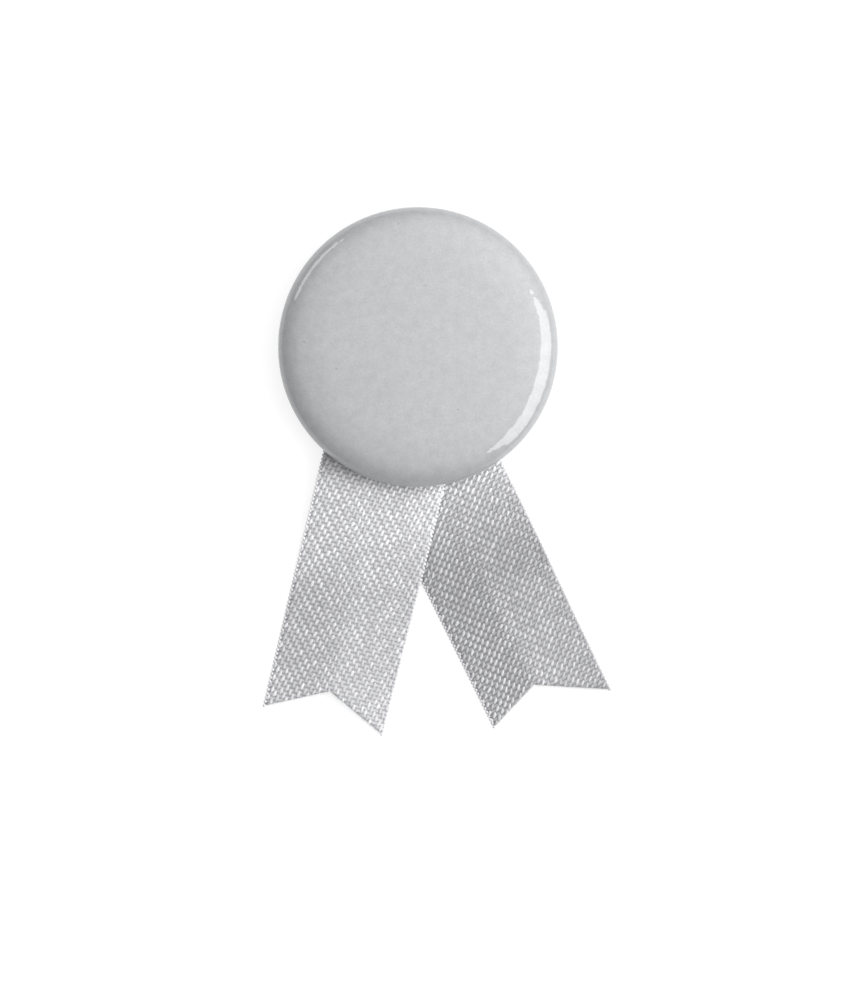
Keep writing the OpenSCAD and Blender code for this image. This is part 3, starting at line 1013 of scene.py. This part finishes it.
# Drawing marks run along the wire for about 5 mm. Real ones are some 0.01 mm apart, which is too fine to
# show, so these are 0.05 mm apart. Both are given as so many to a metre.
DRAWN = (200.0, 20000.0, 20000.0)
stretched = add(tree, "ShaderNodeMapping", {"Vector": place, "Scale": DRAWN})
drawn = add(tree, "ShaderNodeTexNoise", {"Vector": stretched, "Scale": 1.0, "Detail": 1.0})
rough = add(tree, "ShaderNodeMapRange", {"Value": drawn.outputs["Fac"], "To Min": 0.16, "To Max": 0.32})
tree.links.new(rough.outputs[0], shader.inputs["Roughness"])
print("made", nickel.name)

# %% The pin's path, in mm
PIN_SPAN, BEND_R, HOOK_LEG = 20.0, 1.0, 3.0
BACK_LEG_Z = -0.5
BEND_Z, ARM_Z = BACK_LEG_Z - BEND_R, BACK_LEG_Z - 2 * BEND_R
TIP_BACK, TIP_R, TAPER = 0.3, 0.03, 4.0
TAPER_STEPS, BEND_STEPS = 12, 16
ARM_RISE = math.asin(BEND_R / (PIN_SPAN - TIP_BACK))


def bend(x, start, stop):
    """Points round a bend about x, from one angle to another, in degrees from +X."""
    turns = [math.radians(start + (stop - start) * i / BEND_STEPS) for i in range(BEND_STEPS + 1)]
    return [(x + BEND_R * math.cos(a), BEND_Z + BEND_R * math.sin(a)) for a in turns]


half = PIN_SPAN / 2
tip = (half - TIP_BACK, BEND_Z)
spring = bend(-half, 270 + math.degrees(ARM_RISE), 90)
arm_length = math.dist(tip, spring[0])
taper, radii = [], []
for k in range(TAPER_STEPS + 1):
    u = k / TAPER_STEPS * TAPER / arm_length
    taper.append(tuple(a + (b - a) * u for a, b in zip(tip, spring[0])))
    radii.append(TIP_R + (WIRE_R - TIP_R) * (k / TAPER_STEPS) ** 0.8)  # a slightly full point
path = taper + spring + bend(half, 90, -90) + [(half - HOOK_LEG, ARM_Z)]
radii += [WIRE_R] * (len(path) - len(radii))
print("the pin's arm is", round(arm_length, 2), "mm long")

# %% The path as a curve, and the wire along it
line = bpy.data.curves.new("pin_path", "CURVE")
line.dimensions = "3D"
spline = line.splines.new("POLY")
spline.points.add(len(path) - 1)
for point, (x, z), radius in zip(spline.points, path, radii):
    point.co = (x * MM, PIN_Y * MM, z * MM, 1)
    point.radius = radius * MM
wire, given, result = tree_with("round_wire", [("Sides", WHOLE), ("Metal", MATERIAL)])
ring = add(wire, "GeometryNodeCurvePrimitiveCircle", {"Resolution": given["Sides"], "Radius": 1.0})
radius = add(wire, "GeometryNodeInputRadius")
tube = add(
    wire,
    "GeometryNodeCurveToMesh",
    {"Curve": given["Geometry"], "Profile Curve": ring, "Scale": radius, "Fill Caps": True},
)
plain = add(wire, "GeometryNodeRealizeInstances", {"Geometry": tube})
dress(wire, plain, given["Metal"], result)
pin = run_tree("pin_bent", line, wire, {"Sides": 24, "Metal": nickel})
finish_piece(pin, "pin_metal", "pin_wire")

# %% [markdown]
# ## Floor, light and camera
#
# The badge lies on a light table: a plain white board that glows a little, so that hardly a shadow shows.
# A broad soft window on the right makes the bright arc on the rim, a small one at the upper left makes
# the thin one, and a pale surround fills the shadows. The camera looks straight down through a long
# lens, so that nothing looks stretched.

# %% Floor
# A lit opal board: it is matt, and its own glow lifts the ground to white round the badge
board_white, tree, shader = new_material(
    "board_white",
    Roughness=0.8,
    Base_Color=linear("#8c8c8c"),
    Emission_Color=linear("#ffffff"),
    Emission_Strength=0.75,
)
FLOOR_HALF = 1500.0  # mm
corners = [(x * FLOOR_HALF, y * FLOOR_HALF, FLOOR_Z) for x, y in ((-1, -1), (1, -1), (1, 1), (-1, 1))]
floor = mesh_object("floor", corners, [(0, 1, 2, 3)], board_white)
print("the floor is at", FLOOR_Z, "mm")

# %% Light


def window(name, azimuth, elevation, distance, width, height, strength):
    """A soft rectangular light that faces the badge. Azimuth 0 is the badge's right, 90 its top."""
    lamp = bpy.data.lights.new(name, "AREA")
    lamp.shape, lamp.size, lamp.size_y = "RECTANGLE", width, height
    lamp.energy = strength * math.pi * width * height  # so that strength is the radiance of its face
    thing = bpy.data.objects.new(name, lamp)
    a, e = math.radians(azimuth), math.radians(elevation)
    towards = np.array([math.cos(a) * math.cos(e), math.sin(a) * math.cos(e), math.sin(e)])
    thing.location = towards * distance
    right = np.array([-math.sin(a), math.cos(a), 0])
    up = np.cross(towards, right)
    matrix = np.column_stack([right, up, towards])
    thing.rotation_euler = mathutils.Matrix(matrix.tolist()).to_euler()
    thing.visible_camera = False
    bpy.context.scene.collection.objects.link(thing)
    return thing


WINDOWS = [
    # name, azimuth, elevation in degrees, distance, width, height in metres, strength
    ("window_right", -14, 36, 0.4, 0.46, 0.26, 3.2),
    ("window_upper_left", 141, 24, 0.4, 0.20, 0.08, 2.6),
]
for row in WINDOWS:
    print("made", window(*row).name)

# %% The pale surround
# It is brightest high up at the upper right, and dimmest low down at the lower left
SKY_AZIMUTH, SKY_ELEVATION, SKY_DIM, SKY_BRIGHT, SKY_FOCUS = 38, 58, 0.25, 2.3, 2.5
surround = bpy.data.worlds.new("surround")
bpy.context.scene.world = surround
surround.use_nodes = True
tree = surround.node_tree
a, e = math.radians(SKY_AZIMUTH), math.radians(SKY_ELEVATION)
brightest = (math.cos(a) * math.cos(e), math.sin(a) * math.cos(e), math.sin(e))
direction = add(tree, "ShaderNodeTexCoord").outputs["Generated"]
facing = add(
    tree, VECTOR_MATH, {0: direction, 1: brightest}, operation="DOT_PRODUCT"
).outputs["Value"]
facing = add(tree, MATH, {0: facing, 1: 0.0}, operation="MAXIMUM")
facing = add(tree, MATH, {0: facing, 1: SKY_FOCUS}, operation="POWER")
strength = add(tree, MATH, {0: facing, 1: SKY_BRIGHT, 2: SKY_DIM}, operation="MULTIPLY_ADD")
tree.links.new(strength.outputs[0], tree.nodes["Background"].inputs["Strength"])
tree.nodes["Background"].inputs["Color"].default_value = linear("#ffffff")
bpy.context.scene.view_settings.view_transform = "Standard"
print("the surround goes from", SKY_DIM, "to", SKY_DIM + SKY_BRIGHT)

# %% Camera
LENS, SENSOR = 150.0, 36.0
CENTRE_X, CENTRE_Y, FRAME_H = 1.586, -20.217, 132.14  # mm: the middle of the view, and its height
camera_data = bpy.data.cameras.new("camera")
camera_data.lens, camera_data.sensor_width = LENS, SENSOR
camera_data.clip_start, camera_data.clip_end = 0.01, 10
camera = bpy.data.objects.new("camera", camera_data)
camera.location = (CENTRE_X * MM, CENTRE_Y * MM, (WIDEST_Z + FRAME_H * LENS / SENSOR) * MM)
bpy.context.scene.collection.objects.link(camera)
bpy.context.scene.camera = camera
print("the camera is", round(camera.location.z, 3), "m up")
